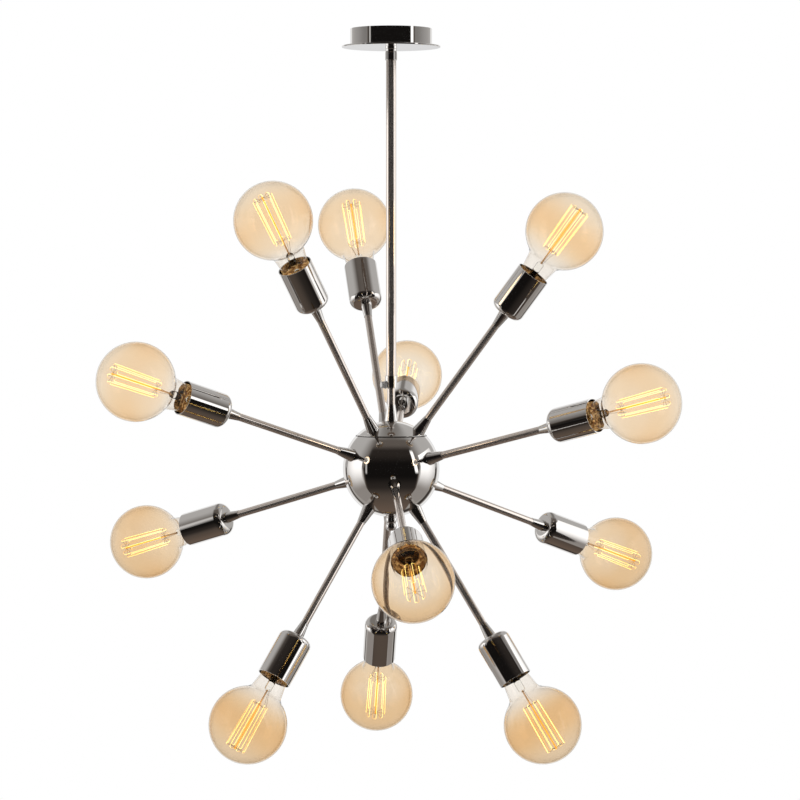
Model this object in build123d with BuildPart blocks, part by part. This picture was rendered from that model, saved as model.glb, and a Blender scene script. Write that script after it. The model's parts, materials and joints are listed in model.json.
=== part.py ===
from build123d import *
import os
from math import cos, radians, sin, sqrt

# Sputnik chandelier: a polished ball on a telescoping stem, and twelve arms that each hold a globe bulb.
# Sizes are in millimetres and angles in degrees. +Z is up, and the front faces -Y. The origin is on the
# stem's axis, in the ceiling plane that the crossbar's feet and the canopy drum bear on.

os.makedirs("parts", exist_ok=True)

# ---- Fits ----------------------------------------------------------------------------------------------
running_gap = 0.05  # radial, where a piece slides or turns in another
screwed_gap = 0.1  # radial, where a thread is drawn as a plain cylinder
passing_gap = 0.3  # radial, where a tube only passes through a hole
seat_gap = 0.05  # between two pieces that are pressed together
edge_round = 0.5  # rounding of a turned or pressed edge

# ---- Ceiling fixing ------------------------------------------------------------------------------------
crossbar_length = 94.0
crossbar_width = 20.0
crossbar_thickness = 2.0
crossbar_drop = 7.0  # the bar's middle hangs this far below its feet
crossbar_foot = 23.0  # length of each foot along the bar
crossbar_joggle = 4.0  # length of each slope between foot and middle
slot_spacing = 69.85  # ceiling box screws, 2 3/4 in apart
slot_length = 12.0
slot_width = 4.5
nipple_diameter = 10.0
nipple_bore = 7.2
nipple_above_nut = 1.5
nipple_in_stem = 22.0
nut_across_flats = 14.0
nut_thickness = 3.0
earth_screw_diameter = 4.0
earth_screw_length = 5.0
earth_screw_head_diameter = 8.0
earth_screw_head_height = 2.4
earth_screw_offset = 14.0  # from the stem's axis

# ---- Canopy --------------------------------------------------------------------------------------------
drum_diameter = 101.0
drum_height = 21.0
drum_wall = 1.0
disc_diameter = 122.0
disc_thickness = 2.0
collar_flange_diameter = 15.0
collar_flange_height = 1.5
collar_waist_diameter = 14.0
collar_waist_height = 4.0
collar_diameter = 14.8
collar_length = 16.0
collar_round = 0.7

# ---- Stem, coupling and height rod ---------------------------------------------------------------------
ball_drop = 545.0  # ceiling to the ball's centre, as in the photograph
stem_diameter = 12.7
stem_wall = 1.2
coupling_diameter = 15.0
coupling_length = 15.5
coupling_socket = 8.0  # how deep the stem tube sits in the coupling
rod_diameter = 9.5
rod_wall = 1.25
rod_length = 360.0
rod_showing = 20.5  # between the neck cone and the coupling
screw_diameter = 4.0
screw_height = 4.0  # above the coupling's lower end
screw_turn = 20.0  # the screw points to -X, turned this far to the front
screw_flange_diameter = 10.4
screw_flange_thickness = 1.0
screw_head_diameter = 8.4
screw_head_length = 5.3
screw_head_round = 1.6
screw_knurls = 18
screw_knurl_diameter = 0.8

# ---- Ball ----------------------------------------------------------------------------------------------
ball_diameter = 120.0
ball_wall = 1.2
seam_polar = 46.3  # angle from straight up to the seam between the two shells
seam_bevel = 0.35
cone_base_diameter = 16.6
cone_tip_diameter = 10.4
cone_height = 20.0  # above the ball's top
pipe_diameter = 10.0
pipe_bore = 7.0
pipe_above_ball = 5.7
pipe_below_ball = 5.5
finial_bead_diameter = 13.8
finial_waist_diameter = 11.4
finial_upper_bead = 7.8
finial_lower_bead = 9.2
finial_lower_belly = 4.1  # the lower bead's widest place, below the waist
finial_foot_diameter = 8.0

# ---- Arms ----------------------------------------------------------------------------------------------
# Four rings of three arms. An arm's turn is counted from the front (-Y) towards +X, and its rise from
# level. The arms are set by hand, so each has its own small lean from its ring's even spacing.
arm_reach = 245.0  # ball's centre to the cup's back
arm_diameter = 9.5
arm_wall = 1.0
arm_inside_nut = 3.0  # how far the tube shows past its nut, inside the ball
arm_in_holder = 5.0
ring_step = 120.0
rings = [
    {"turn": 73.5, "rise": 54.5, "leans": [(-4.5, -2.0), (0.0, 1.5), (4.5, 1.0)]},
    {"turn": 57.5, "rise": 16.0, "leans": [(-2.5, -2.0), (-1.0, 0.5), (3.5, 2.0)]},
    {"turn": 3.5, "rise": -17.5, "leans": [(0.5, 1.0), (-1.0, -2.0), (0.0, 1.0)]},
    {"turn": 65.0, "rise": -56.0, "leans": [(-2.0, 0.0), (0.5, -1.0), (1.5, 1.5)]},
]

# ---- Socket cups and lampholders -----------------------------------------------------------------------
cup_diameter = 42.0
cup_length = 60.0
cup_wall = 0.9
cup_back_round = 8.0
socket_cone_base_diameter = 14.8
socket_cone_tip_diameter = 10.2
socket_cone_length = 19.0
holder_diameter = 35.0
holder_neck_diameter = 24.0
holder_neck_length = 4.0
holder_floor = 6.0
holder_recess = 11.0  # holder's open end, below the cup's mouth
shell_wall = 0.6
shell_recess = 3.0  # shell's end, below the holder's open end
contact_diameter = 9.0
contact_thickness = 2.0
contact_post_diameter = 5.0

# ---- Bulbs ---------------------------------------------------------------------------------------------
globe_diameter = 95.0
globe_standoff = 65.0  # cup's mouth to the globe's centre
glass_wall = 0.8
neck_mouth_diameter = 33.4  # where the neck passes the cup's mouth
neck_root_diameter = 41.0  # where the neck runs into the globe
neck_stub = 2.0  # straight glass above the skirt, before the flare
neck_blend = 6.0
neck_flare_blend = 10.0
cap_skirt_diameter = 26.6
cap_skirt_length = 5.5
cap_recess = 11.5  # skirt's end, below the cup's mouth
cap_wall = 0.35
thread_pitch = 3.63
thread_turns = 4
thread_crest_diameter = 26.1
thread_root_diameter = 24.4
cap_base_diameter = 18.0
insulator_height = 3.5
tip_diameter = 9.6
tip_height = 2.0
tip_gap = 0.2  # between the tip and the lampholder's centre contact

# ---- Filament and its mount ----------------------------------------------------------------------------
cage_near = 29.0  # cage's end towards the neck, from the globe's centre
cage_far = 32.0
cage_near_diameter = 22.0
cage_far_diameter = 25.0
cage_runs = 16
filament_diameter = 0.6
filament_turn = 1.9
mount_rod_diameter = 2.4
mount_button_diameter = 3.6
mount_press_diameter = 9.0
mount_press_end = 58.0  # from the globe's centre
mount_press_length = 16.0
support_diameter = 0.5

# ---- Wiring --------------------------------------------------------------------------------------------
cable_diameter = 5.6
cable_above_nipple = 1.0
lead_diameter = 4.0
splice_diameter = 44.0

# ---- Places that follow from the sizes above -----------------------------------------------------------
ball_radius = ball_diameter / 2
ball_inner_radius = ball_radius - ball_wall
ball_centre = (0, 0, -ball_drop)
seam_height = ball_radius * cos(radians(seam_polar))
stem_top = -(crossbar_drop + crossbar_thickness + nut_thickness)
disc_top = -drum_height
collar_top = -(drum_height + disc_thickness)
cone_top = ball_radius + cone_height
coupling_bottom = -ball_drop + cone_top + rod_showing
coupling_top = coupling_bottom + coupling_length
stem_bottom = coupling_top - coupling_socket
rod_bottom = -ball_drop + ball_radius + pipe_above_ball + passing_gap
nut_corner_radius = nut_across_flats / 2 / cos(radians(30))
cup_mouth = arm_reach + cup_length
holder_back = arm_reach + cup_wall + seat_gap
holder_floor_top = holder_back + holder_neck_length + holder_floor
holder_end = cup_mouth - holder_recess
globe_radius = globe_diameter / 2
globe_centre = cup_mouth + globe_standoff
skirt_end = cup_mouth - cap_recess
skirt_start = skirt_end - cap_skirt_length
glass_seat = skirt_start + cap_wall
thread_start = skirt_start - thread_pitch * thread_turns
insulator_top = thread_start - seat_gap
tip_top = insulator_top - insulator_height
tip_end = tip_top - tip_height
mount_press_top = globe_centre - mount_press_end
lead_end = holder_floor_top - seat_gap


def ball_height(radius, off_axis):
    """Height of a ball's surface above its centre, at a distance from its axis."""
    return sqrt(radius**2 - off_axis**2)


def arm_plane(turn, rise):
    """Plane at the ball's centre whose Z axis runs out along an arm."""
    level = cos(radians(rise))
    outward = (level * sin(radians(turn)), -level * cos(radians(turn)), sin(radians(rise)))
    sideways = (cos(radians(turn)), sin(radians(turn)), 0)
    return Plane(origin=ball_centre, x_dir=sideways, z_dir=outward)


arm_aims = [
    (ring["turn"] + place * ring_step + lean_turn, ring["rise"] + lean_rise)
    for ring in rings
    for place, (lean_turn, lean_rise) in enumerate(ring["leans"])
]
arm_planes = [arm_plane(turn, rise) for turn, rise in arm_aims]
cap_arm_planes = [arm_plane(turn, rise) for turn, rise in arm_aims if rise > 90 - seam_polar]
body_arm_planes = [arm_plane(turn, rise) for turn, rise in arm_aims if rise <= 90 - seam_polar]
up_plane = Plane(origin=ball_centre)
down_plane = Plane(origin=ball_centre, z_dir=(0, 0, -1))

# ---- Ceiling crossbar: a joggled strip with two slots for the ceiling box's screws ----------------------
bar_middle = crossbar_length / 2 - crossbar_foot - crossbar_joggle
bar_bend = crossbar_length / 2 - crossbar_foot
with BuildPart() as ceiling_crossbar:
    with BuildSketch(Plane.XZ):
        with BuildLine() as half_bar:
            Polyline(
                (0, -crossbar_drop),
                (bar_middle, -crossbar_drop),
                (bar_bend, 0),
                (crossbar_length / 2, 0),
                (crossbar_length / 2, -crossbar_thickness),
                (bar_bend, -crossbar_thickness),
                (bar_middle, -crossbar_drop - crossbar_thickness),
                (0, -crossbar_drop - crossbar_thickness),
            )
            mirror(about=Plane.YZ)
        make_face()
    extrude(amount=crossbar_width / 2, both=True)
    with BuildSketch(Plane.XY):
        with GridLocations(slot_spacing, 0, 2, 1):
            SlotOverall(slot_length, slot_width)
    extrude(amount=-crossbar_thickness, mode=Mode.SUBTRACT)
    with BuildSketch(Plane.XY.offset(-crossbar_drop)):
        Circle(nipple_diameter / 2 + screwed_gap)
        with Locations((-earth_screw_offset, 0)):
            Circle(earth_screw_diameter / 2 + screwed_gap)
    extrude(amount=-crossbar_thickness, mode=Mode.SUBTRACT)
ceiling_crossbar.part.label = "ceiling_crossbar"
export_step(ceiling_crossbar.part, "parts/ceiling_crossbar.step")

# ---- Canopy nipple: hollow, from above the crossbar down into the stem tube -----------------------------
nipple_top = -crossbar_drop + nut_thickness + nipple_above_nut
with BuildPart() as canopy_nipple:
    with BuildSketch(Plane.XY.offset(nipple_top)):
        Circle(nipple_diameter / 2)
        Circle(nipple_bore / 2, mode=Mode.SUBTRACT)
    extrude(amount=-(nipple_top - stem_top + nipple_in_stem))
    chamfer(canopy_nipple.edges().filter_by(GeomType.CIRCLE).sort_by(Axis.Z)[-1], length=edge_round)
canopy_nipple.part.label = "canopy_nipple"
export_step(canopy_nipple.part, "parts/canopy_nipple.step")


def nut_outline(bore_diameter):
    """Hexagon with a round hole, drawn in the open sketch."""
    RegularPolygon(nut_across_flats / 2, side_count=6, major_radius=False)
    Circle(bore_diameter / 2 + screwed_gap, mode=Mode.SUBTRACT)


# ---- Canopy fasteners: a locknut above and one below the crossbar, and the earth screw ------------------
with BuildPart() as canopy_fasteners:
    with BuildSketch(Plane.XY.offset(-crossbar_drop)):
        nut_outline(nipple_diameter)
    extrude(amount=nut_thickness)
    with BuildSketch(Plane.XY.offset(-crossbar_drop - crossbar_thickness)):
        nut_outline(nipple_diameter)
    extrude(amount=-nut_thickness)
    with BuildSketch(Plane.XY.offset(-crossbar_drop)):
        with Locations((-earth_screw_offset, 0)):
            Circle(earth_screw_head_diameter / 2)
    extrude(amount=earth_screw_head_height)
    with BuildSketch(Plane.XY.offset(-crossbar_drop)):
        with Locations((-earth_screw_offset, 0)):
            Circle(earth_screw_diameter / 2)
    extrude(amount=-earth_screw_length)
    earth_screw_top = Plane.XY.offset(-crossbar_drop + earth_screw_head_height)
    with BuildSketch(earth_screw_top):
        with Locations((-earth_screw_offset, 0)):
            Rectangle(earth_screw_head_diameter, earth_screw_diameter / 4)
    extrude(amount=-earth_screw_head_height / 2, mode=Mode.SUBTRACT)
canopy_fasteners.part.label = "canopy_fasteners"
export_step(canopy_fasteners.part, "parts/canopy_fasteners.step")

# ---- Canopy drum: a shallow cup, open to the ceiling ----------------------------------------------------
stem_hole_radius = stem_diameter / 2 + passing_gap
with BuildPart() as canopy_drum:
    with BuildSketch(Plane.XY.offset(-drum_height)):
        Circle(drum_diameter / 2)
    extrude(amount=drum_height)
    fillet(canopy_drum.edges().sort_by(Axis.Z)[0], radius=edge_round)
    offset(amount=-drum_wall, openings=canopy_drum.faces().sort_by(Axis.Z)[-1])
    with BuildSketch(Plane.XY.offset(-drum_height)):
        Circle(stem_hole_radius)
    extrude(amount=drum_wall, mode=Mode.SUBTRACT)
canopy_drum.part.label = "canopy_drum"
export_step(canopy_drum.part, "parts/canopy_drum.step")

# ---- Canopy disc: the flat plate under the drum ---------------------------------------------------------
with BuildPart() as canopy_disc:
    with BuildSketch(Plane.XY.offset(disc_top)):
        Circle(disc_diameter / 2)
        Circle(stem_hole_radius, mode=Mode.SUBTRACT)
    extrude(amount=-disc_thickness)
    fillet(canopy_disc.edges().group_by(SortBy.LENGTH)[-1], radius=edge_round)
canopy_disc.part.label = "canopy_disc"
export_step(canopy_disc.part, "parts/canopy_disc.step")

# ---- Stem collar: slips over the stem and holds the canopy up -------------------------------------------
collar_bore_radius = stem_diameter / 2 + running_gap
collar_waist_top = collar_top - collar_flange_height
collar_waist_bottom = collar_waist_top - collar_waist_height
collar_bottom = collar_top - collar_length
with BuildPart() as stem_collar:
    with BuildSketch(Plane.XZ) as collar_section:
        with BuildLine():
            Polyline(
                (collar_bore_radius, collar_top),
                (collar_flange_diameter / 2, collar_top),
                (collar_flange_diameter / 2, collar_waist_top),
                (collar_waist_diameter / 2, collar_waist_top - edge_round),
                (collar_waist_diameter / 2, collar_waist_bottom),
                (collar_diameter / 2, collar_waist_bottom - edge_round),
                (collar_diameter / 2, collar_bottom),
                (collar_bore_radius, collar_bottom),
                close=True,
            )
        make_face()
        collar_foot = collar_section.vertices().sort_by_distance((collar_diameter / 2, collar_bottom))[0]
        fillet(collar_foot, radius=collar_round)
    revolve(axis=Axis.Z)
stem_collar.part.label = "stem_collar"
export_step(stem_collar.part, "parts/stem_collar.step")

# ---- Stem tube ------------------------------------------------------------------------------------------
with BuildPart() as stem_tube:
    with BuildSketch(Plane.XY.offset(stem_top)):
        Circle(stem_diameter / 2)
        Circle(stem_diameter / 2 - stem_wall, mode=Mode.SUBTRACT)
    extrude(amount=-(stem_top - stem_bottom))
stem_tube.part.label = "stem_tube"
export_step(stem_tube.part, "parts/stem_tube.step")

# ---- Stem coupling: holds the stem tube above, and guides the height rod below --------------------------
screw_aim = (-cos(radians(screw_turn)), -sin(radians(screw_turn)), 0)
screw_plane = Plane(origin=(0, 0, coupling_bottom + screw_height), z_dir=screw_aim)
with BuildPart() as stem_coupling:
    with BuildSketch(Plane.XY.offset(coupling_bottom)):
        Circle(coupling_diameter / 2)
    extrude(amount=coupling_length)
    fillet(stem_coupling.edges().filter_by(GeomType.CIRCLE), radius=edge_round)
    with BuildSketch(Plane.XY.offset(stem_bottom)):
        Circle(stem_diameter / 2 + screwed_gap)
    extrude(amount=coupling_socket, mode=Mode.SUBTRACT)
    with BuildSketch(Plane.XY.offset(coupling_bottom)):
        Circle(rod_diameter / 2 + running_gap)
    extrude(amount=coupling_length, mode=Mode.SUBTRACT)
    with BuildSketch(screw_plane):
        Circle(screw_diameter / 2 + screwed_gap)
    extrude(amount=coupling_diameter, mode=Mode.SUBTRACT)
stem_coupling.part.label = "stem_coupling"
export_step(stem_coupling.part, "parts/stem_coupling.step")

# ---- Thumb screw: its point stops just short of the height rod ------------------------------------------
screw_point = rod_diameter / 2 + seat_gap
screw_flange_start = coupling_diameter / 2 + seat_gap
screw_head_start = screw_flange_start + screw_flange_thickness
with BuildPart() as thumb_screw:
    with BuildSketch(screw_plane.offset(screw_point)):
        Circle(screw_diameter / 2)
    extrude(amount=screw_flange_start - screw_point)
    with BuildSketch(screw_plane.offset(screw_flange_start)):
        Circle(screw_flange_diameter / 2)
    extrude(amount=screw_flange_thickness)
    with BuildSketch(screw_plane.offset(screw_head_start)):
        Circle(screw_head_diameter / 2)
    extrude(amount=screw_head_length)
    screw_crown = thumb_screw.edges().filter_by(GeomType.CIRCLE).sort_by(Axis((0, 0, 0), screw_aim))[-1]
    fillet(screw_crown, radius=screw_head_round)
    with BuildSketch(screw_plane.offset(screw_head_start)):
        with PolarLocations(screw_head_diameter / 2, screw_knurls):
            Circle(screw_knurl_diameter / 2)
    extrude(amount=screw_head_length - screw_head_round, mode=Mode.SUBTRACT)
thumb_screw.part.label = "thumb_screw"
export_step(thumb_screw.part, "parts/thumb_screw.step")

# ---- Height rod: a tube that slides in the stem and carries the ball ------------------------------------
with BuildPart() as height_rod:
    with BuildSketch(Plane.XY.offset(rod_bottom)):
        Circle(rod_diameter / 2)
        Circle(rod_diameter / 2 - rod_wall, mode=Mode.SUBTRACT)
    extrude(amount=rod_length)
height_rod.part.label = "height_rod"
export_step(height_rod.part, "parts/height_rod.step")


def cone_on_ball(bore_radius):
    """Tapered collar along +Z whose foot is hollowed to lie on a ball about the origin."""
    foot_radius = ball_radius + seat_gap
    base_radius = cone_base_diameter / 2
    middle_radius = (bore_radius + base_radius) / 2
    foot_inner = (bore_radius, ball_height(foot_radius, bore_radius))
    foot_middle = (middle_radius, ball_height(foot_radius, middle_radius))
    foot_outer = (base_radius, ball_height(foot_radius, base_radius))
    with BuildPart() as cone:
        with BuildSketch(Plane.XZ):
            with BuildLine():
                ThreePointArc(foot_inner, foot_middle, foot_outer)
                Line(foot_outer, (base_radius, foot_outer[1] + edge_round))
                Line((base_radius, foot_outer[1] + edge_round), (cone_tip_diameter / 2, cone_top - edge_round))
                Line((cone_tip_diameter / 2, cone_top - edge_round), (cone_tip_diameter / 2, cone_top))
                Line((cone_tip_diameter / 2, cone_top), (bore_radius, cone_top))
                Line((bore_radius, cone_top), foot_inner)
            make_face()
        revolve(axis=Axis.Z)
    return cone.part


# ---- Neck cone: screwed on the centre pipe below, and turning on the height rod above -------------------
with BuildPart() as neck_cone:
    with Locations(up_plane):
        add(cone_on_ball(rod_diameter / 2 + running_gap))
    with BuildSketch(Plane.XY.offset(-ball_drop + ball_inner_radius)):
        Circle(pipe_diameter / 2 + screwed_gap)
    extrude(amount=ball_wall + pipe_above_ball + passing_gap, mode=Mode.SUBTRACT)
neck_cone.part.label = "neck_cone"
export_step(neck_cone.part, "parts/neck_cone.step")

# ---- Centre pipe: runs through the ball, and the neck cone and finial clamp the shells on it ------------
with BuildPart() as centre_pipe:
    with BuildSketch(Plane.XY.offset(-ball_drop - ball_radius - pipe_below_ball)):
        Circle(pipe_diameter / 2)
        Circle(pipe_bore / 2, mode=Mode.SUBTRACT)
    extrude(amount=pipe_below_ball + ball_diameter + pipe_above_ball)
centre_pipe.part.label = "centre_pipe"
export_step(centre_pipe.part, "parts/centre_pipe.step")

# ---- Ball nuts: one behind the shell on each arm, and two on the centre pipe ----------------------------
nut_seat = ball_height(ball_inner_radius, nut_corner_radius) - seat_gap
with BuildPart() as arm_nut:
    with BuildSketch(Plane.XY.offset(nut_seat)):
        nut_outline(arm_diameter)
    extrude(amount=-nut_thickness)
with BuildPart() as pipe_nut:
    with BuildSketch(Plane.XY.offset(nut_seat)):
        nut_outline(pipe_diameter)
    extrude(amount=-nut_thickness)
with BuildPart() as ball_nuts:
    with Locations(*arm_planes):
        add(arm_nut.part)
    with Locations(up_plane, down_plane):
        add(pipe_nut.part)
ball_nuts.part.label = "ball_nuts"
export_step(ball_nuts.part, "parts/ball_nuts.step")


def ball_shell(kept_side, pole_plane, holed_planes):
    """The part of the hollow ball on one side of the seam, with a hole for each arm and for the pipe."""
    seam_plane = Plane.XY.offset(seam_height - ball_drop)
    with BuildPart() as shell:
        with Locations(ball_centre):
            Sphere(ball_radius)
            Sphere(ball_inner_radius, mode=Mode.SUBTRACT)
        split(bisect_by=seam_plane, keep=kept_side)
        seam_rims = shell.edges().filter_by_position(Axis.Z, seam_plane.origin.Z, seam_plane.origin.Z)
        chamfer(seam_rims.sort_by(SortBy.LENGTH)[-1], length=seam_bevel)
        for plane in holed_planes:
            with BuildSketch(plane):
                Circle(arm_diameter / 2 + screwed_gap)
            extrude(amount=ball_diameter, mode=Mode.SUBTRACT)
        with BuildSketch(pole_plane):
            Circle(pipe_diameter / 2 + screwed_gap)
        extrude(amount=ball_diameter, mode=Mode.SUBTRACT)
    return shell.part


# ---- Ball cap and ball body: the two shells, which meet at the seam -------------------------------------
with BuildPart() as ball_cap:
    add(ball_shell(Keep.TOP, up_plane, cap_arm_planes))
ball_cap.part.label = "ball_cap"
export_step(ball_cap.part, "parts/ball_cap.step")

with BuildPart() as ball_body:
    add(ball_shell(Keep.BOTTOM, down_plane, body_arm_planes))
ball_body.part.label = "ball_body"
export_step(ball_body.part, "parts/ball_body.step")

# ---- Bottom finial: two beads, screwed on the centre pipe's end -----------------------------------------
finial_bore_radius = pipe_diameter / 2 + screwed_gap
finial_seat_radius = ball_radius + seat_gap
finial_neck_radius = finial_waist_diameter / 2
finial_top = ball_height(finial_seat_radius, finial_neck_radius)
finial_waist = finial_seat_radius + finial_upper_bead
finial_end = finial_waist + finial_lower_bead
finial_bore_end = ball_radius + pipe_below_ball + passing_gap
finial_seat_middle = finial_neck_radius / 2
with BuildPart() as finial_bead:
    with BuildSketch(Plane.XZ):
        with BuildLine():
            ThreePointArc(
                (0, finial_seat_radius),
                (finial_seat_middle, ball_height(finial_seat_radius, finial_seat_middle)),
                (finial_neck_radius, finial_top),
            )
            ThreePointArc(
                (finial_neck_radius, finial_top),
                (finial_bead_diameter / 2, (finial_top + finial_waist) / 2),
                (finial_neck_radius, finial_waist),
            )
            ThreePointArc(
                (finial_neck_radius, finial_waist),
                (finial_bead_diameter / 2, finial_waist + finial_lower_belly),
                (finial_foot_diameter / 2, finial_end),
            )
            Line((finial_foot_diameter / 2, finial_end), (0, finial_end))
            Line((0, finial_end), (0, finial_seat_radius))
        make_face()
    revolve(axis=Axis.Z)
    with BuildSketch(Plane.XY):
        Circle(finial_bore_radius)
    extrude(amount=finial_bore_end, mode=Mode.SUBTRACT)
with BuildPart() as bottom_finial:
    with Locations(down_plane):
        add(finial_bead.part)
bottom_finial.part.label = "bottom_finial"
export_step(bottom_finial.part, "parts/bottom_finial.step")

# ---- Ball cones: one round the foot of each arm ---------------------------------------------------------
with BuildPart() as ball_cones:
    with Locations(*arm_planes):
        add(cone_on_ball(arm_diameter / 2 + screwed_gap))
ball_cones.part.label = "ball_cones"
export_step(ball_cones.part, "parts/ball_cones.step")

# ---- Arm tubes ------------------------------------------------------------------------------------------
arm_start = nut_seat - nut_thickness - arm_inside_nut
arm_end = arm_reach + arm_in_holder
with BuildPart() as one_arm:
    with BuildSketch(Plane.XY.offset(arm_start)):
        Circle(arm_diameter / 2)
        Circle(arm_diameter / 2 - arm_wall, mode=Mode.SUBTRACT)
    extrude(amount=arm_end - arm_start)
with BuildPart() as arm_tubes:
    with Locations(*arm_planes):
        add(one_arm.part)
arm_tubes.part.label = "arm_tubes"
export_step(arm_tubes.part, "parts/arm_tubes.step")

# ---- Socket cones: one behind each cup ------------------------------------------------------------------
socket_cone_bore_radius = arm_diameter / 2 + screwed_gap
socket_cone_start = arm_reach - seat_gap - socket_cone_length
with BuildPart() as one_socket_cone:
    with BuildSketch(Plane.XZ):
        with BuildLine():
            Polyline(
                (socket_cone_bore_radius, socket_cone_start),
                (socket_cone_tip_diameter / 2, socket_cone_start),
                (socket_cone_tip_diameter / 2, socket_cone_start + edge_round),
                (socket_cone_base_diameter / 2, arm_reach - seat_gap - edge_round),
                (socket_cone_base_diameter / 2, arm_reach - seat_gap),
                (socket_cone_bore_radius, arm_reach - seat_gap),
                close=True,
            )
        make_face()
    revolve(axis=Axis.Z)
with BuildPart() as socket_cones:
    with Locations(*arm_planes):
        add(one_socket_cone.part)
socket_cones.part.label = "socket_cones"
export_step(socket_cones.part, "parts/socket_cones.step")

# ---- Socket cups: thin cups with a rounded back, open at the mouth --------------------------------------
with BuildPart() as one_cup:
    with BuildSketch(Plane.XY.offset(arm_reach)):
        Circle(cup_diameter / 2)
    extrude(amount=cup_length)
    fillet(one_cup.edges().filter_by(GeomType.CIRCLE).sort_by(Axis.Z)[0], radius=cup_back_round)
    offset(amount=-cup_wall, openings=one_cup.faces().sort_by(Axis.Z)[-1])
    with BuildSketch(Plane.XY.offset(arm_reach)):
        Circle(arm_diameter / 2 + screwed_gap)
    extrude(amount=cup_wall, mode=Mode.SUBTRACT)
with BuildPart() as socket_cups:
    with Locations(*arm_planes):
        add(one_cup.part)
socket_cups.part.label = "socket_cups"
export_step(socket_cups.part, "parts/socket_cups.step")

# ---- Lampholder bodies: screwed on the arm's end inside the cup -----------------------------------------
shell_bore_radius = cap_skirt_diameter / 2 + screwed_gap
shell_radius = shell_bore_radius + shell_wall
with BuildPart() as one_holder:
    with BuildSketch(Plane.XY.offset(holder_back)):
        Circle(holder_neck_diameter / 2)
    extrude(amount=holder_neck_length)
    with BuildSketch(Plane.XY.offset(holder_back + holder_neck_length)):
        Circle(holder_diameter / 2)
    extrude(amount=holder_end - holder_back - holder_neck_length)
    fillet(one_holder.edges().filter_by(GeomType.CIRCLE).sort_by(Axis.Z)[-1], radius=edge_round)
    with BuildSketch(Plane.XY.offset(holder_floor_top)):
        Circle(shell_radius + screwed_gap)
    extrude(amount=holder_end - holder_floor_top, mode=Mode.SUBTRACT)
    with BuildSketch(Plane.XY.offset(holder_back)):
        Circle(arm_diameter / 2 + screwed_gap)
    extrude(amount=arm_end + seat_gap - holder_back, mode=Mode.SUBTRACT)
    with BuildSketch(Plane.XY.offset(holder_back)):
        Circle(lead_diameter / 2 + passing_gap)
    extrude(amount=holder_floor_top - holder_back, mode=Mode.SUBTRACT)
with BuildPart() as lampholder_bodies:
    with Locations(*arm_planes):
        add(one_holder.part)
lampholder_bodies.part.label = "lampholder_bodies"
export_step(lampholder_bodies.part, "parts/lampholder_bodies.step")

# ---- Lampholder contacts: the screw shell, and the centre contact on its post ---------------------------
contact_top = tip_end - tip_gap
with BuildPart() as one_contact_set:
    with BuildSketch(Plane.XY.offset(holder_floor_top + seat_gap)):
        Circle(shell_radius)
        Circle(shell_bore_radius, mode=Mode.SUBTRACT)
    extrude(amount=holder_end - shell_recess - holder_floor_top - seat_gap)
    with BuildSketch(Plane.XY.offset(holder_floor_top + seat_gap)):
        Circle(contact_post_diameter / 2)
    extrude(amount=contact_top - contact_thickness - holder_floor_top - seat_gap)
    with BuildSketch(Plane.XY.offset(contact_top - contact_thickness)):
        Circle(contact_diameter / 2)
    extrude(amount=contact_thickness)
with BuildPart() as lampholder_contacts:
    with Locations(*arm_planes):
        add(one_contact_set.part)
lampholder_contacts.part.label = "lampholder_contacts"
export_step(lampholder_contacts.part, "parts/lampholder_contacts.step")

# ---- Bulb envelope: a globe with a flared neck whose stub sits in the cap -------------------------------
stub_radius = cap_skirt_diameter / 2 - cap_wall - seat_gap
flare_height = skirt_end + neck_stub


def envelope_section(wall, stub_start):
    """Half section of the envelope's filled shape, a wall inside its outer face."""
    radius = globe_radius - wall
    root_radius = neck_root_diameter / 2 - wall
    join_height = globe_centre - ball_height(radius, root_radius)
    with BuildSketch(Plane.XZ) as section:
        with Locations((0, globe_centre)):
            Circle(radius)
        with BuildLine():
            Polyline(
                (0, stub_start),
                (stub_radius - wall, stub_start),
                (stub_radius - wall, flare_height),
                (neck_mouth_diameter / 2 - wall, cup_mouth),
                (root_radius, join_height),
                (root_radius, globe_centre),
                (0, globe_centre),
                close=True,
            )
        make_face()
        with Locations((globe_diameter / 2, globe_centre)):
            Rectangle(globe_diameter, 2 * globe_centre, mode=Mode.INTERSECT)
        join = section.vertices().sort_by_distance((root_radius, join_height))[0]
        fillet(join, radius=neck_blend + wall)
        flare = section.vertices().sort_by_distance((stub_radius - wall, flare_height))[0]
        fillet(flare, radius=neck_flare_blend + wall)
    return section.sketch


with BuildPart() as envelope:
    revolve(envelope_section(0, glass_seat + seat_gap), axis=Axis.Z)
    revolve(envelope_section(glass_wall, glass_seat - glass_wall), axis=Axis.Z, mode=Mode.SUBTRACT)

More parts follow.
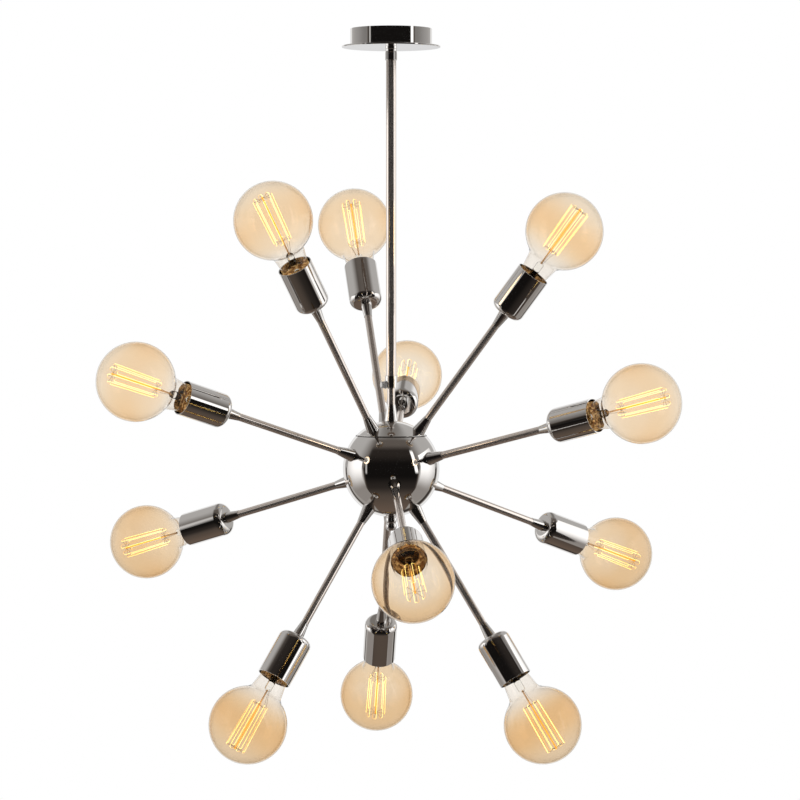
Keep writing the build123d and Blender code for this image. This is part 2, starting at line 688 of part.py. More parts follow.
# ---- Bulb cap: rolled screw shell with a skirt, an insulator and a contact tip --------------------------
thread_mean_radius = (thread_crest_diameter + thread_root_diameter) / 4
cap_bore_radius = thread_root_diameter / 2 - cap_wall
with BuildPart() as cap:
    with BuildSketch(Plane.XZ):
        with BuildLine():
            Polyline((cap_base_diameter / 2, thread_start), (thread_mean_radius, thread_start))
            for turn in range(thread_turns):
                start = thread_start + turn * thread_pitch
                crest = (thread_crest_diameter / 2, start + thread_pitch / 4)
                middle = (thread_mean_radius, start + thread_pitch / 2)
                root = (thread_root_diameter / 2, start + thread_pitch * 3 / 4)
                ThreePointArc((thread_mean_radius, start), crest, middle)
                ThreePointArc(middle, root, (thread_mean_radius, start + thread_pitch))
            Polyline(
                (thread_mean_radius, skirt_start),
                (cap_skirt_diameter / 2, skirt_start),
                (cap_skirt_diameter / 2, skirt_end),
                (cap_skirt_diameter / 2 - cap_wall, skirt_end),
                (cap_skirt_diameter / 2 - cap_wall, glass_seat),
                (cap_bore_radius, glass_seat),
                (cap_bore_radius, thread_start + cap_wall),
                (cap_base_diameter / 2, thread_start + cap_wall),
                (cap_base_diameter / 2, thread_start),
            )
        make_face()
    revolve(axis=Axis.Z)
    with BuildSketch(Plane.XY.offset(insulator_top)):
        Circle(cap_base_diameter / 2 + cap_wall)
    with BuildSketch(Plane.XY.offset(tip_top + seat_gap)):
        Circle(tip_diameter / 2 + cap_wall)
    loft()
    with BuildSketch(Plane.XY.offset(tip_top)):
        Circle(tip_diameter / 2)
    extrude(amount=-tip_height)
    fillet(cap.edges().filter_by(GeomType.CIRCLE).sort_by(Axis.Z)[0], radius=tip_height / 2)

# ---- Filament mount: flared glass stem, rod with a button, supports and the two lead wires --------------
near_height = globe_centre - cage_near
far_height = globe_centre + cage_far
cage_step = 360 / cage_runs
near_chord = cage_near_diameter * sin(radians(cage_step / 2))
near_reach = cage_near_diameter / 2 * cos(radians(cage_step / 2)) - filament_diameter - passing_gap
far_reach = cage_far_diameter / 2 * cos(radians(cage_step / 2)) - filament_diameter - passing_gap
flare_radius = stub_radius - glass_wall - seat_gap
flare_start = glass_seat + glass_wall
press_start = mount_press_top - mount_press_length


def cage_point(run, height, diameter):
    """Where a run of the filament cage meets one of its two end circles."""
    angle = radians(run * cage_step)
    return (diameter / 2 * cos(angle), diameter / 2 * sin(angle), height)


upright = (Align.CENTER, Align.CENTER, Align.MIN)  # a cylinder stands on its plane


def support_spider(height, reach, first_run):
    """Radial wires from the rod to just short of the filament's bends at one end of the cage."""
    for bend in range(first_run, cage_runs - 1, 2):
        angle = radians((bend + 0.5) * cage_step)
        with Locations(Plane(origin=(0, 0, height), z_dir=(cos(angle), sin(angle), 0))):
            Cylinder(support_diameter / 2, reach, align=upright)


def lead_wire(run):
    """Straight wire from the glass press to just short of one end of the filament."""
    end = Vector(*cage_point(run, near_height, cage_near_diameter))
    start = Vector(*cage_point(run, press_start, mount_press_diameter / 2))
    aim = end - start
    with Locations(Plane(origin=start, z_dir=aim)):
        Cylinder(support_diameter / 2, aim.length - passing_gap - filament_diameter, align=upright)


with BuildPart() as mount:
    with BuildSketch(Plane.XZ):
        with BuildLine():
            Polyline(
                (0, flare_start),
                (flare_radius, flare_start),
                (flare_radius, flare_start + glass_wall),
            )
            Spline(
                (flare_radius, flare_start + glass_wall),
                (mount_press_diameter / 2, press_start),
                tangents=((-1, 0), (0, 1)),
            )
            Polyline(
                (mount_press_diameter / 2, press_start),
                (mount_press_diameter / 2, mount_press_top - edge_round),
                (mount_rod_diameter / 2, mount_press_top),
                (mount_rod_diameter / 2, far_height),
                (mount_button_diameter / 2, far_height),
                (mount_button_diameter / 2, far_height + mount_button_diameter / 2),
                (0, far_height + mount_button_diameter / 2),
                (0, flare_start),
            )
        make_face()
    revolve(axis=Axis.Z)
    support_spider(far_height, far_reach, 0)
    support_spider(near_height, near_reach, 1)
    lead_wire(0)
    lead_wire(cage_runs - 1)

# ---- Filament: one wire that runs up and down round the cage --------------------------------------------
cage_route = []
for run in range(cage_runs):
    near_point = cage_point(run, near_height, cage_near_diameter)
    far_point = cage_point(run, far_height, cage_far_diameter)
    cage_route += [near_point, far_point] if run % 2 == 0 else [far_point, near_point]
with BuildPart() as filament:
    with BuildLine() as filament_path:
        cage_wire = FilletPolyline(*cage_route, radius=filament_turn)
    with BuildSketch(Plane(origin=cage_wire @ 0, z_dir=cage_wire % 0)):
        Circle(filament_diameter / 2)
    sweep()
print(f"filament: length {cage_wire.length:.0f}, least gap {near_chord - filament_diameter:.2f}")

# ---- The twelve bulbs: each is an envelope, a cap and a filament on its mount ---------------------------
for number, plane in enumerate(arm_planes, start=1):
    with BuildPart() as bulb_globe:
        with Locations(plane):
            add(envelope.part)
    bulb_globe.part.label = f"bulb_globe_{number:02d}"
    export_step(bulb_globe.part, f"parts/bulb_globe_{number:02d}.step")

    with BuildPart() as bulb_cap:
        with Locations(plane):
            add(cap.part)
    bulb_cap.part.label = f"bulb_cap_{number:02d}"
    export_step(bulb_cap.part, f"parts/bulb_cap_{number:02d}.step")

    with BuildPart() as bulb_filament:
        with Locations(plane):
            add(mount.part)
            add(filament.part)
    bulb_filament.part.label = f"bulb_filament_{number:02d}"
    export_step(bulb_filament.part, f"parts/bulb_filament_{number:02d}.step")

# ---- Supply cable: straight down inside the nipple, the stem, the height rod and the centre pipe --------
with BuildPart() as supply_cable:
    with BuildSketch(Plane.XY.offset(nipple_top + cable_above_nipple)):
        Circle(cable_diameter / 2)
    extrude(amount=-(nipple_top + cable_above_nipple + ball_drop))
supply_cable.part.label = "supply_cable"
export_step(supply_cable.part, "parts/supply_cable.step")

# ---- Arm wiring: a lead inside each arm, and the wrapped splice round the centre pipe -------------------
with BuildPart() as one_lead:
    with BuildSketch(Plane.XY.offset(splice_diameter / 2 + passing_gap)):
        Circle(lead_diameter / 2)
    extrude(amount=lead_end - splice_diameter / 2 - passing_gap)
with BuildPart() as arm_wiring:
    with Locations(ball_centre):
        Sphere(splice_diameter / 2)
        Cylinder(pipe_diameter / 2 + passing_gap, splice_diameter, mode=Mode.SUBTRACT)
    with Locations(*arm_planes):
        add(one_lead.part)
arm_wiring.part.label = "arm_wiring"
export_step(arm_wiring.part, "parts/arm_wiring.step")
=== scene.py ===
"""Looks of the sputnik chandelier: lamps, finishes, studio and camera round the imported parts."""

import json
from math import atan2, ceil, cos, pi, radians, sin, sqrt

import bmesh
import bpy
from mathutils import Matrix, Vector


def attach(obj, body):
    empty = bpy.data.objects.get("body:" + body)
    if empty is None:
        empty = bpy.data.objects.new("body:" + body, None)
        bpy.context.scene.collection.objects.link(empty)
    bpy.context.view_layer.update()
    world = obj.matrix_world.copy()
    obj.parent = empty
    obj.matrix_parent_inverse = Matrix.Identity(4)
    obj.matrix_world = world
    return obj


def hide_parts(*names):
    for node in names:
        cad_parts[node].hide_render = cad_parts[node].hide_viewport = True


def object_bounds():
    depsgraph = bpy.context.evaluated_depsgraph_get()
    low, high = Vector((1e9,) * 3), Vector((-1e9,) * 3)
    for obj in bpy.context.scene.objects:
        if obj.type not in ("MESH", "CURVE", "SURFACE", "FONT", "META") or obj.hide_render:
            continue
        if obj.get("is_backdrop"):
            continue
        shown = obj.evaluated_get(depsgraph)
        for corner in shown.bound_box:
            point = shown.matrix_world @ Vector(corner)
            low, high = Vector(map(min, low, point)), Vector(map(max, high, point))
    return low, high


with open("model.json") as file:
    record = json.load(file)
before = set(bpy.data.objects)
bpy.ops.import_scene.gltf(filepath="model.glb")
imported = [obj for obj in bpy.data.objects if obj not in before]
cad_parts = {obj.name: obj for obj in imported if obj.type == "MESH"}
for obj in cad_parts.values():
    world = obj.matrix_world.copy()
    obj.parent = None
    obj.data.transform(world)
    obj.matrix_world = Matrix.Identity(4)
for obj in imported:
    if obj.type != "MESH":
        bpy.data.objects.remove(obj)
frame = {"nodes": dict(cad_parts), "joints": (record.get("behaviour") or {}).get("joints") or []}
cad_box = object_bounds()
joints = {joint["name"]: joint for joint in frame["joints"]}

# ---- Sizes, in millimetres as in the part's source -----------------------------------------------
MM = 0.001
BULBS = 12
CUP_MOUTH = 305.0  # from the ball's centre, along an arm
GLOBE_RADIUS = 47.5
GLOBE_CENTRE = 370.0
GLASS_WALL = 0.6
NECK_AT_MOUTH = 16.7
NECK_AT_GLOBE = 20.5
STUB_RADIUS = 12.9
STUB_START = 288.4
FLARE_START = 295.5
SKIRT_START = 288.0
SKIRT_END = 293.5
SKIRT_RADIUS = 13.3
CAP_WALL = 0.35
THREAD_PITCH = 3.63
THREAD_TURNS = 4
THREAD_START = SKIRT_START - THREAD_TURNS * THREAD_PITCH
THREAD_CREST = 13.05
THREAD_ROOT = 12.2
CAP_BASE = 9.0
INSULATOR_TOP = 273.4
TIP_TOP = 269.9
TIP_END = 267.95
TIP_RADIUS = 4.8
PRESS_START = 296.0
PRESS_TOP = 324.0
PRESS_RADIUS = 4.5
ROD_RADIUS = 0.95
ROD_POINT = 1.8
CAGE_NEAR = 341.0
CAGE_FAR = 402.0
CAGE_NEAR_RADIUS = 11.0
CAGE_FAR_RADIUS = 12.5
CAGE_RUNS = 16
FILAMENT_RADIUS = 0.15
FILAMENT_TURN = 1.9
SUPPORT_RADIUS = 0.19
BALL_CENTRE = Vector(joints["hub_turn"]["pos_m"])
BALL_RADIUS = 60.0
SEAM_HEIGHT = 41.45
SEAM_STEPS = 180
ON_AXIS = 1e-6
SHARP_ANGLE = radians(35.0)
GLASS_TURNS = 128
CAP_TURNS = 72
STEM_TURNS = 48
ROD_TURNS = 24


# ---- Shader maths --------------------------------------------------------------------------------
class Wire:
    """An output socket of a node tree. Arithmetic on it adds Math nodes."""

    def __init__(self, tree, socket=None):
        self.tree = tree
        self.socket = socket

    def node(self, kind, settings=None, sockets=None, output=0):
        """Adds a node: its settings first, then the values or links of its sockets."""
        made = self.tree.nodes.new(kind)
        for name, value in (settings or {}).items():
            setattr(made, name, value)
        for name, value in (sockets or {}).items():
            if isinstance(value, Wire):
                self.tree.links.new(value.socket, made.inputs[name])
            else:
                made.inputs[name].default_value = value
        return Wire(self.tree, made.outputs[output] if made.outputs else None)

    def maths(self, operation, *terms):
        return self.node("ShaderNodeMath", {"operation": operation}, dict(enumerate(terms)))

    def __add__(self, other):
        return self.maths("ADD", self, other)

    def __radd__(self, other):
        return self.maths("ADD", other, self)

    def __sub__(self, other):
        return self.maths("SUBTRACT", self, other)

    def __rsub__(self, other):
        return self.maths("SUBTRACT", other, self)

    def __mul__(self, other):
        return self.maths("MULTIPLY", self, other)

    def __rmul__(self, other):
        return self.maths("MULTIPLY", other, self)

    def __truediv__(self, other):
        return self.maths("DIVIDE", self, other)

    def __pow__(self, other):
        return self.maths("POWER", self, other)

    def __abs__(self):
        return self.maths("ABSOLUTE", self)

    def at_least(self, other):
        return self.maths("MAXIMUM", self, other)

    def at_most(self, other):
        return self.maths("MINIMUM", self, other)

    def above(self, level, soft):
        """0 below a level and 1 above it, with a smooth step of that half width."""
        ends = {"From Min": level - soft, "From Max": level + soft, "Value": self}
        return self.node("ShaderNodeMapRange", {"interpolation_type": "SMOOTHSTEP"}, ends)

    def between(self, low, high, soft):
        """1 between two levels and 0 outside them, with the same smooth steps."""
        return self.above(low, soft) * (1 - self.above(high, soft))

    def blend(self, first, second):
        """Mixes two colours by this value."""
        sockets = {0: self, 6: (*first, 1.0) if isinstance(first, tuple) else first}
        sockets[7] = (*second, 1.0) if isinstance(second, tuple) else second
        return self.node("ShaderNodeMix", {"data_type": "RGBA"}, sockets, 2)

    def noise(self, scale, detail=2.0, roughness=0.5):
        """Noise over this wire's coordinates."""
        sockets = {"Vector": self, "Scale": scale, "Detail": detail, "Roughness": roughness}
        return self.node("ShaderNodeTexNoise", {}, sockets)

    def stretched(self, x, y, z):
        """These coordinates, scaled along each axis."""
        sockets = {"Vector": self, "Scale": (x, y, z)}
        return self.node("ShaderNodeMapping", {}, sockets)

    def part(self, letter):
        return self.node("ShaderNodeSeparateXYZ", {}, {"Vector": self}, letter)


def light_path(bare, output):
    return bare.node("ShaderNodeLightPath", output=output)


def painted(bare, name):
    """What paint() has left on a mesh under this name."""
    return bare.node("ShaderNodeAttribute", {"attribute_name": name}, output="Fac")


def finish_for(name, build):
    """A material: build makes its shader from a bare wire and the object's coordinates."""
    material = bpy.data.materials.new(name)
    material.use_nodes = True
    tree = material.node_tree
    tree.nodes.clear()
    bare = Wire(tree)
    place = bare.node("ShaderNodeTexCoord", output="Object")
    bare.node("ShaderNodeOutputMaterial", {}, {"Surface": build(bare, place)})
    return material


def bumped(bare, height, strength, distance):
    return bare.node(
        "ShaderNodeBump", {}, {"Strength": strength, "Distance": distance, "Height": height}
    )


def principled(bare, **sockets):
    named = {name.replace("_", " "): value for name, value in sockets.items()}
    return bare.node("ShaderNodeBsdfPrincipled", {}, named)


# ---- Finishes ------------------------------------------------------------------------------------
def polished_chrome(bare, place):
    cloud = place.noise(9.0, 3.0)
    haze = place.noise(70.0, 4.0, 0.6)
    wipe = place.stretched(40.0, 40.0, 900.0).noise(1.0, 2.0)
    smear = cloud.above(0.52, 0.14) * haze.above(0.5, 0.2)
    colour = cloud.above(0.5, 0.3).blend((0.80, 0.785, 0.77), (0.86, 0.85, 0.84))
    return principled(
        bare,
        Base_Color=colour,
        Metallic=1.0,
        Roughness=0.02 + 0.03 * smear + 0.015 * wipe,
    )


def drawn_chrome(bare, place):
    """Chrome on drawn tube: a little browner and softer than on the turned pieces."""
    cloud = place.noise(12.0, 3.0)
    haze = place.noise(45.0, 2.0)
    return principled(
        bare,
        Base_Color=cloud.blend((0.82, 0.74, 0.68), (0.87, 0.80, 0.75)),
        Metallic=0.945,
        Roughness=0.07 + 0.03 * haze,
    )


def zinc_plated_steel(bare, place):
    spangle = place.noise(160.0, 3.0, 0.6)
    stain = place.noise(24.0, 4.0, 0.7)
    colour = spangle.blend((0.42, 0.43, 0.44), (0.62, 0.62, 0.60))
    return principled(
        bare,
        Base_Color=stain.above(0.62, 0.08).blend(colour, (0.50, 0.46, 0.36)),
        Metallic=1.0,
        Roughness=0.26 + 0.22 * spangle,
        Normal=bumped(bare, spangle, 0.15, 0.0002),
    )


def satin_chrome(bare, place):
    """Chrome over knurling, which scatters what it mirrors."""
    grain = place.noise(420.0, 2.0)
    return principled(
        bare,
        Base_Color=grain.blend((0.80, 0.79, 0.78), (0.90, 0.89, 0.88)),
        Metallic=0.85,
        Roughness=0.34 + 0.12 * grain,
        Normal=bumped(bare, grain, 0.06, 0.0002),
    )


def brass_painted_glow(bare, place):
    """Brass down in the cup, with a painted glow and painted glints standing in for the light of
    its own filament.
    """
    patina = place.noise(150.0, 3.0, 0.6)
    gleam = place.stretched(1.0, 1.0, 1.6).noise(230.0, 2.0)
    return principled(
        bare,
        Base_Color=patina.blend((0.56, 0.33, 0.15), (0.31, 0.17, 0.07)),
        Metallic=0.8,
        Roughness=0.22 + 0.2 * patina,
        # Painted light: the emission is the filament's glow on the brass, with bright noisy patches
        # as painted glints.
        Emission_Color=gleam.above(0.54, 0.1).blend((0.12, 0.055, 0.018), (0.84, 0.56, 0.25)),
        Emission_Strength=0.6,
        Normal=bumped(bare, gleam, 0.2, 0.0004),
    )


def brown_phenolic(bare, place):
    filler = place.noise(420.0, 3.0, 0.6)
    flow = place.stretched(1.0, 1.0, 3.0).noise(30.0, 3.0)
    return principled(
        bare,
        Base_Color=flow.blend((0.035, 0.016, 0.009), (0.075, 0.034, 0.018)),
        Roughness=0.28 + 0.18 * filler,
        Normal=bumped(bare, filler, 0.08, 0.0002),
    )


def spun_brass(bare, place):
    patina = place.noise(55.0, 4.0, 0.6)
    lines = place.stretched(60.0, 60.0, 2400.0).noise(1.0, 1.0)
    return principled(
        bare,
        Base_Color=patina.above(0.55, 0.2).blend((0.83, 0.63, 0.27), (0.62, 0.43, 0.16)),
        Metallic=1.0,
        Roughness=0.14 + 0.14 * patina,
        Normal=bumped(bare, lines, 0.08, 0.0002),
    )


def cable_sheath(bare, place):
    grain = place.noise(300.0, 2.0)
    return principled(
        bare,
        Base_Color=grain.blend((0.62, 0.60, 0.56), (0.74, 0.72, 0.68)),
        Roughness=0.42 + 0.2 * grain,
        Normal=bumped(bare, grain, 0.1, 0.0002),
    )


def amber_glass(bare, place):
    draw = place.noise(38.0, 3.0)
    along_arm = painted(bare, "from_neck")
    belly = along_arm.above(GLOBE_CENTRE - 34.0, 20.0)
    # Painted glow: in a band round the filament the glass turns a deeper amber, its own tint
    # deepened to stand in for the filament's light.
    filament_glow_band = along_arm.between(GLOBE_CENTRE - 24.0, GLOBE_CENTRE + 22.0, 20.0)
    low = 1 - place.part("Z").above(-0.60, 0.12)
    stain = low.blend((0.95, 0.775, 0.565), (0.89, 0.695, 0.465))
    stain = draw.blend(stain, low.blend((0.955, 0.80, 0.62), (0.895, 0.72, 0.52)))
    pale = low.blend((0.945, 0.87, 0.765), (0.885, 0.775, 0.635))
    tint = filament_glow_band.blend(pale, stain)
    tint = belly.blend((0.955, 0.925, 0.885), tint)
    return principled(
        bare,
        Base_Color=tint,
        Roughness=0.0,
        IOR=1.24,
        Transmission_Weight=1.0,
        Normal=bumped(bare, draw, 0.03, 0.0008),
    )


def clear_glass(bare, place):
    seed = place.noise(90.0, 3.0)
    return principled(
        bare,
        Base_Color=seed.blend((0.96, 0.97, 0.96), (0.99, 0.99, 0.98)),
        Roughness=0.02,
        IOR=1.2,
        Transmission_Weight=1.0,
        Normal=bumped(bare, seed, 0.2, 0.0006),
    )


def glowing_filament(bare, place):
    flicker = place.noise(140.0, 2.0)
    warmth = painted(bare, "run_warmth")
    cool = flicker.blend((0.30, 0.150, 0.015), (0.38, 0.205, 0.03))
    hot = flicker.blend((1.0, 0.78, 0.22), (1.0, 0.86, 0.32))
    return principled(
        bare,
        Base_Color=(0.05, 0.045, 0.04, 1.0),
        Roughness=0.6,
        Emission_Color=warmth.blend(cool, hot),
        Emission_Strength=4.2,
    )


def glowing_rod(bare, place):
    hot = place.noise(60.0, 2.0).blend((1.0, 0.46, 0.04), (1.0, 0.58, 0.09))
    along_arm = painted(bare, "from_neck")
    caged = along_arm.above(CAGE_NEAR, 10.0)
    return principled(
        bare,
        Base_Color=caged.blend((0.62, 0.42, 0.25), (0.55, 0.30, 0.10)),
        Roughness=0.25,
        # The rod is no lamp: its emission is a painted glow, orange where it runs through the cage
        # and faint below it.
        Emission_Color=caged.blend((0.10, 0.05, 0.02), hot),
        Emission_Strength=0.92,
    )


def support_wire(bare, place):
    scale = place.noise(500.0, 2.0)
    return principled(
        bare,
        Base_Color=scale.blend((0.50, 0.30, 0.15), (0.66, 0.44, 0.25)),
        Metallic=1.0,
        Roughness=0.3 + 0.2 * scale,
    )


def black_glass(bare, place):
    swirl = place.noise(180.0, 3.0)
    return principled(
        bare,
        Base_Color=swirl.blend((0.008, 0.007, 0.010), (0.022, 0.018, 0.024)),
        Roughness=0.08 + 0.1 * swirl,
        Normal=bumped(bare, swirl, 0.1, 0.0003),
    )


def seam_shadow(bare, place):
    """Painted shade: a dark line standing for the shadow in the joint of the two shells."""
    mottle = place.noise(200.0, 2.0)
    return principled(
        bare,
        Base_Color=mottle.blend((0.020, 0.016, 0.013), (0.045, 0.036, 0.030)),
        Roughness=0.6 + 0.2 * mottle,
    )


def solder(bare, place):
    dull = place.noise(260.0, 3.0, 0.6)
    return principled(
        bare,
        Base_Color=dull.blend((0.44, 0.44, 0.45), (0.64, 0.64, 0.64)),
        Metallic=1.0,
        Roughness=0.3 + 0.3 * dull,
        Normal=bumped(bare, dull, 0.2, 0.0003),
    )


builders = (
    polished_chrome,
    drawn_chrome,
    satin_chrome,
    brass_painted_glow,
    zinc_plated_steel,
    brown_phenolic,
    spun_brass,
    cable_sheath,
    amber_glass,
    clear_glass,
    glowing_filament,
    glowing_rod,
    support_wire,
    black_glass,
    seam_shadow,
    solder,
)
finishes = {build.__name__: finish_for(build.__name__, build) for build in builders}

slot_finishes = {
    "chrome": "polished_chrome",
    "zinc_steel": "zinc_plated_steel",
    "brown_phenolic": "brown_phenolic",
    "brass": "spun_brass",
    "cable_sheath": "cable_sheath",
    "amber_glass": "amber_glass",
    "filament": "glowing_filament",
}
own_finishes = {
    "arm_tubes": "drawn_chrome",
    "stem_tube": "drawn_chrome",
    "height_rod": "drawn_chrome",
    "thumb_screw": "satin_chrome",
    # The lampholder bodies and contacts carry the brass's painted glow.
    "lampholder_bodies": "brass_painted_glow",
    "lampholder_contacts": "brass_painted_glow",
}
for node in frame["nodes"].values():
    for slot in node.material_slots:
        words = slot.material.name.lower() if slot.material else ""
        for word, finish in slot_finishes.items():
            if word in words:
                slot.material = finishes[finish]
                break
for name, finish in own_finishes.items():
    for slot in frame["nodes"][name].material_slots:
        slot.material = finishes[finish]


# ---- Outlines: pairs of radius and height along an arm, in millimetres ---------------------------
def curve_between(start, start_run, end, end_run, steps):
    """Points of a smooth bend from one point and run to another, both ends included."""
    points = []
    for step in range(steps + 1):
        t = step / steps
        # Hermite weights of the two points and the two runs.
        a = 2 * t**3 - 3 * t**2 + 1
        b = t**3 - 2 * t**2 + t
        c = 3 * t**2 - 2 * t**3
        d = t**3 - t**2
        points.append(
            tuple(a * start[i] + b * start_run[i] + c * end[i] + d * end_run[i] for i in (0, 1))
        )
    return points


def envelope_outline(wall):
    """The bulb's outline from its stub to its far pole, a wall inside the outer face."""
    stub = STUB_RADIUS - wall
    ball = GLOBE_RADIUS - wall
    mouth = NECK_AT_MOUTH - wall
    root = NECK_AT_GLOBE - wall
    join = GLOBE_CENTRE - sqrt(ball**2 - root**2)
    slope = (root - mouth) / (join - CUP_MOUTH)

    def neck(height):
        return (mouth + slope * (height - CUP_MOUTH), height)

    # The neck bends softly out of the stub, and softly into the ball.
    stub_end = (stub, FLARE_START - 3.0)
    neck_start = neck(FLARE_START + 6.0)
    stub_run = 7.0
    neck_end = neck(join - 4.5)
    meet_angle = atan2(root, GLOBE_CENTRE - join) + radians(7.0)
    meet = (ball * sin(meet_angle), GLOBE_CENTRE - ball * cos(meet_angle))
    neck_run = 9.0
    points = [(stub, STUB_START + wall)]
    points += curve_between(
        stub_end, (0.0, stub_run), neck_start, (stub_run * slope, stub_run), 10
    )
    points += curve_between(
        neck_end,
        (neck_run * slope, neck_run),
        meet,
        (neck_run * cos(meet_angle), neck_run * sin(meet_angle)),
        12,
    )
    ball_steps = 60
    for step in range(1, ball_steps + 1):
        angle = meet_angle + (pi - meet_angle) * step / ball_steps
        points.append((ball * sin(angle), GLOBE_CENTRE - ball * cos(angle)))
    points[-1] = (0.0, GLOBE_CENTRE + ball)
    return points


def ring_of(shape, radii, height):
    """Vertices evenly round the height axis, one for each radius."""
    ring = []
    for turn, radius in enumerate(radii):
        angle = 2 * pi * turn / len(radii)
        ring.append(
            shape.verts.new((radius * cos(angle) * MM, radius * sin(angle) * MM, height * MM))
        )
    return ring


def band_between(shape, low, high):
    """Faces between two rings, either of which may be a single vertex on the axis."""
    if len(low) == 1 and len(high) == 1:
        return
    turns = max(len(low), len(high))
    for turn in range(turns):
        after = (turn + 1) % turns
        if len(low) == 1:
            shape.faces.new((low[0], high[after], high[turn]))
        elif len(high) == 1:
            shape.faces.new((low[turn], low[after], high[0]))
        else:
            shape.faces.new((low[turn], low[after], high[after], high[turn]))


def lathe(name, outline, turns, closed=False):
    """A turned piece: an outline of radius and height in millimetres, spun round the axis."""
    shape = bmesh.new()
    rings = []
    for radius, height in outline:
        rings.append(ring_of(shape, [0.0] if radius < ON_AXIS else [radius] * turns, height))
    for low, high in zip(rings, rings[1:] + rings[:1] if closed else rings[1:]):
        band_between(shape, low, high)
    return finished_mesh(name, shape)


def plain_mesh(name, shape):
    mesh = bpy.data.meshes.new(name)
    shape.to_mesh(mesh)
    shape.free()
    return mesh


def finished_mesh(name, shape):
    bmesh.ops.recalc_face_normals(shape, faces=shape.faces[:])
    mesh = plain_mesh(name, shape)
    mesh.shade_smooth()
    mesh.set_sharp_from_angle(angle=SHARP_ANGLE)
    return mesh


def paint(mesh, name, values):
    """Leaves one number on each vertex, for painted() to read."""
    mesh.attributes.new(name, "FLOAT", "POINT").data.foreach_set("value", values)


def wires(name, runs, radius, sides=8):
    """Round wires of one radius along runs of points in millimetres, as one mesh."""
    data = bpy.data.curves.new(name, "CURVE")
    data.dimensions = "3D"
    data.bevel_depth = radius * MM
    data.bevel_resolution = max(0, ceil(sides / 4) - 1)
    data.use_fill_caps = True
    for run in runs:
        spline = data.splines.new("POLY")
        spline.points.add(len(run) - 1)
        for point, place in zip(spline.points, run):
            point.co = (place[0] * MM, place[1] * MM, place[2] * MM, 1.0)
    carrier = bpy.data.objects.new(name, data)
    bpy.context.scene.collection.objects.link(carrier)
    bpy.context.view_layer.update()
    graph = bpy.context.evaluated_depsgraph_get()
    mesh = bpy.data.meshes.new_from_object(carrier.evaluated_get(graph))
    mesh.name = name
    bpy.data.objects.remove(carrier)
    mesh.shade_smooth()
    return mesh


def joined(name, *meshes):
    """One mesh made of several, each with its own finish."""
    shape = bmesh.new()
    for index, (mesh, _) in enumerate(meshes):
        before = len(shape.faces)
        shape.from_mesh(mesh)
        shape.faces.ensure_lookup_table()
        for face in shape.faces[before:]:
            face.material_index = index
    whole = plain_mesh(name, shape)
    whole.set_sharp_from_angle(angle=SHARP_ANGLE)
    for _, finish in meshes:
        whole.materials.append(finishes[finish])
    return whole


# ---- The bulb's pieces ---------------------------------------------------------------------------
def glass_envelope():
    outline = envelope_outline(0.0) + envelope_outline(GLASS_WALL)[::-1]
    mesh = lathe("bulb_envelope", outline, GLASS_TURNS, closed=True)
    paint(mesh, "from_neck", [vertex.co.z / MM for vertex in mesh.vertices])
    mesh.materials.append(finishes["amber_glass"])
    return mesh


def screw_cap():
    """Rolled cap: its thread is one true helix, and its skirt, insulator and tip are turned."""
    shape = bmesh.new()
    per_pitch = 12
    levels = THREAD_TURNS * per_pitch
    mean = (THREAD_CREST + THREAD_ROOT) / 2
    swing = (THREAD_CREST - THREAD_ROOT) / 2
    rows = []
    for level in range(levels + 1):
        fade = min(1.0, level / 8, (levels - level) / 6)
        radii = []
        for turn in range(CAP_TURNS):
            wave = sin(2 * pi * level / per_pitch - 2 * pi * turn / CAP_TURNS)
            radii.append(mean + fade * swing * wave)
        rows.append(ring_of(shape, radii, THREAD_START + THREAD_PITCH * level / per_pitch))
    for low, high in zip(rows, rows[1:]):
        band_between(shape, low, high)
    thread = finished_mesh("cap_thread", shape)
    rounded_foot = curve_between(
        (mean - 1.0, THREAD_START), (1.6, 0.0), (mean, THREAD_START + 0.02), (0.0, 1.0), 6
    )
    base = lathe(
        "cap_base",
        [(CAP_BASE, THREAD_START + CAP_WALL), (CAP_BASE, THREAD_START)] + rounded_foot,
        CAP_TURNS,
    )
    skirt_round = 0.25
    skirt = lathe(
        "cap_skirt",
        [
            (mean, SKIRT_START),
            (SKIRT_RADIUS - skirt_round, SKIRT_START),
            (SKIRT_RADIUS, SKIRT_START + skirt_round),
            (SKIRT_RADIUS, SKIRT_END - 0.1),
            (SKIRT_RADIUS - CAP_WALL / 2, SKIRT_END),
            (SKIRT_RADIUS - CAP_WALL, SKIRT_END - 0.1),
            (SKIRT_RADIUS - CAP_WALL, SKIRT_START + CAP_WALL),
        ],
        CAP_TURNS,
    )
    insulator = lathe(
        "cap_insulator",
        [(0.0, INSULATOR_TOP), (CAP_BASE + CAP_WALL, INSULATOR_TOP)]
        + curve_between(
            (CAP_BASE + CAP_WALL, INSULATOR_TOP - 0.1),
            (-1.0, -2.6),
            (TIP_RADIUS + CAP_WALL, TIP_TOP + 0.1),
            (-2.6, -1.0),
            8,
        )
        + [(0.0, TIP_TOP + 0.1)],
        CAP_TURNS,
    )
    tip_edge = (TIP_RADIUS, TIP_TOP - 0.9)
    tip = lathe(
        "cap_tip",
        [(0.0, TIP_TOP), (TIP_RADIUS, TIP_TOP), tip_edge]
        + curve_between(tip_edge, (0.0, -1.5), (0.0, TIP_END), (-6.0, 0.0), 8),
        CAP_TURNS,
    )
    return joined(
        "bulb_screw_cap",
        (thread, "spun_brass"),
        (base, "spun_brass"),
        # The skirt carries the brass's painted glow of the filament's light.
        (skirt, "brass_painted_glow"),
        (insulator, "black_glass"),
        (tip, "solder"),
    )


def cage_place(run, height, radius):
    angle = 2 * pi * run / CAGE_RUNS
    return Vector((radius * cos(angle), radius * sin(angle), height))


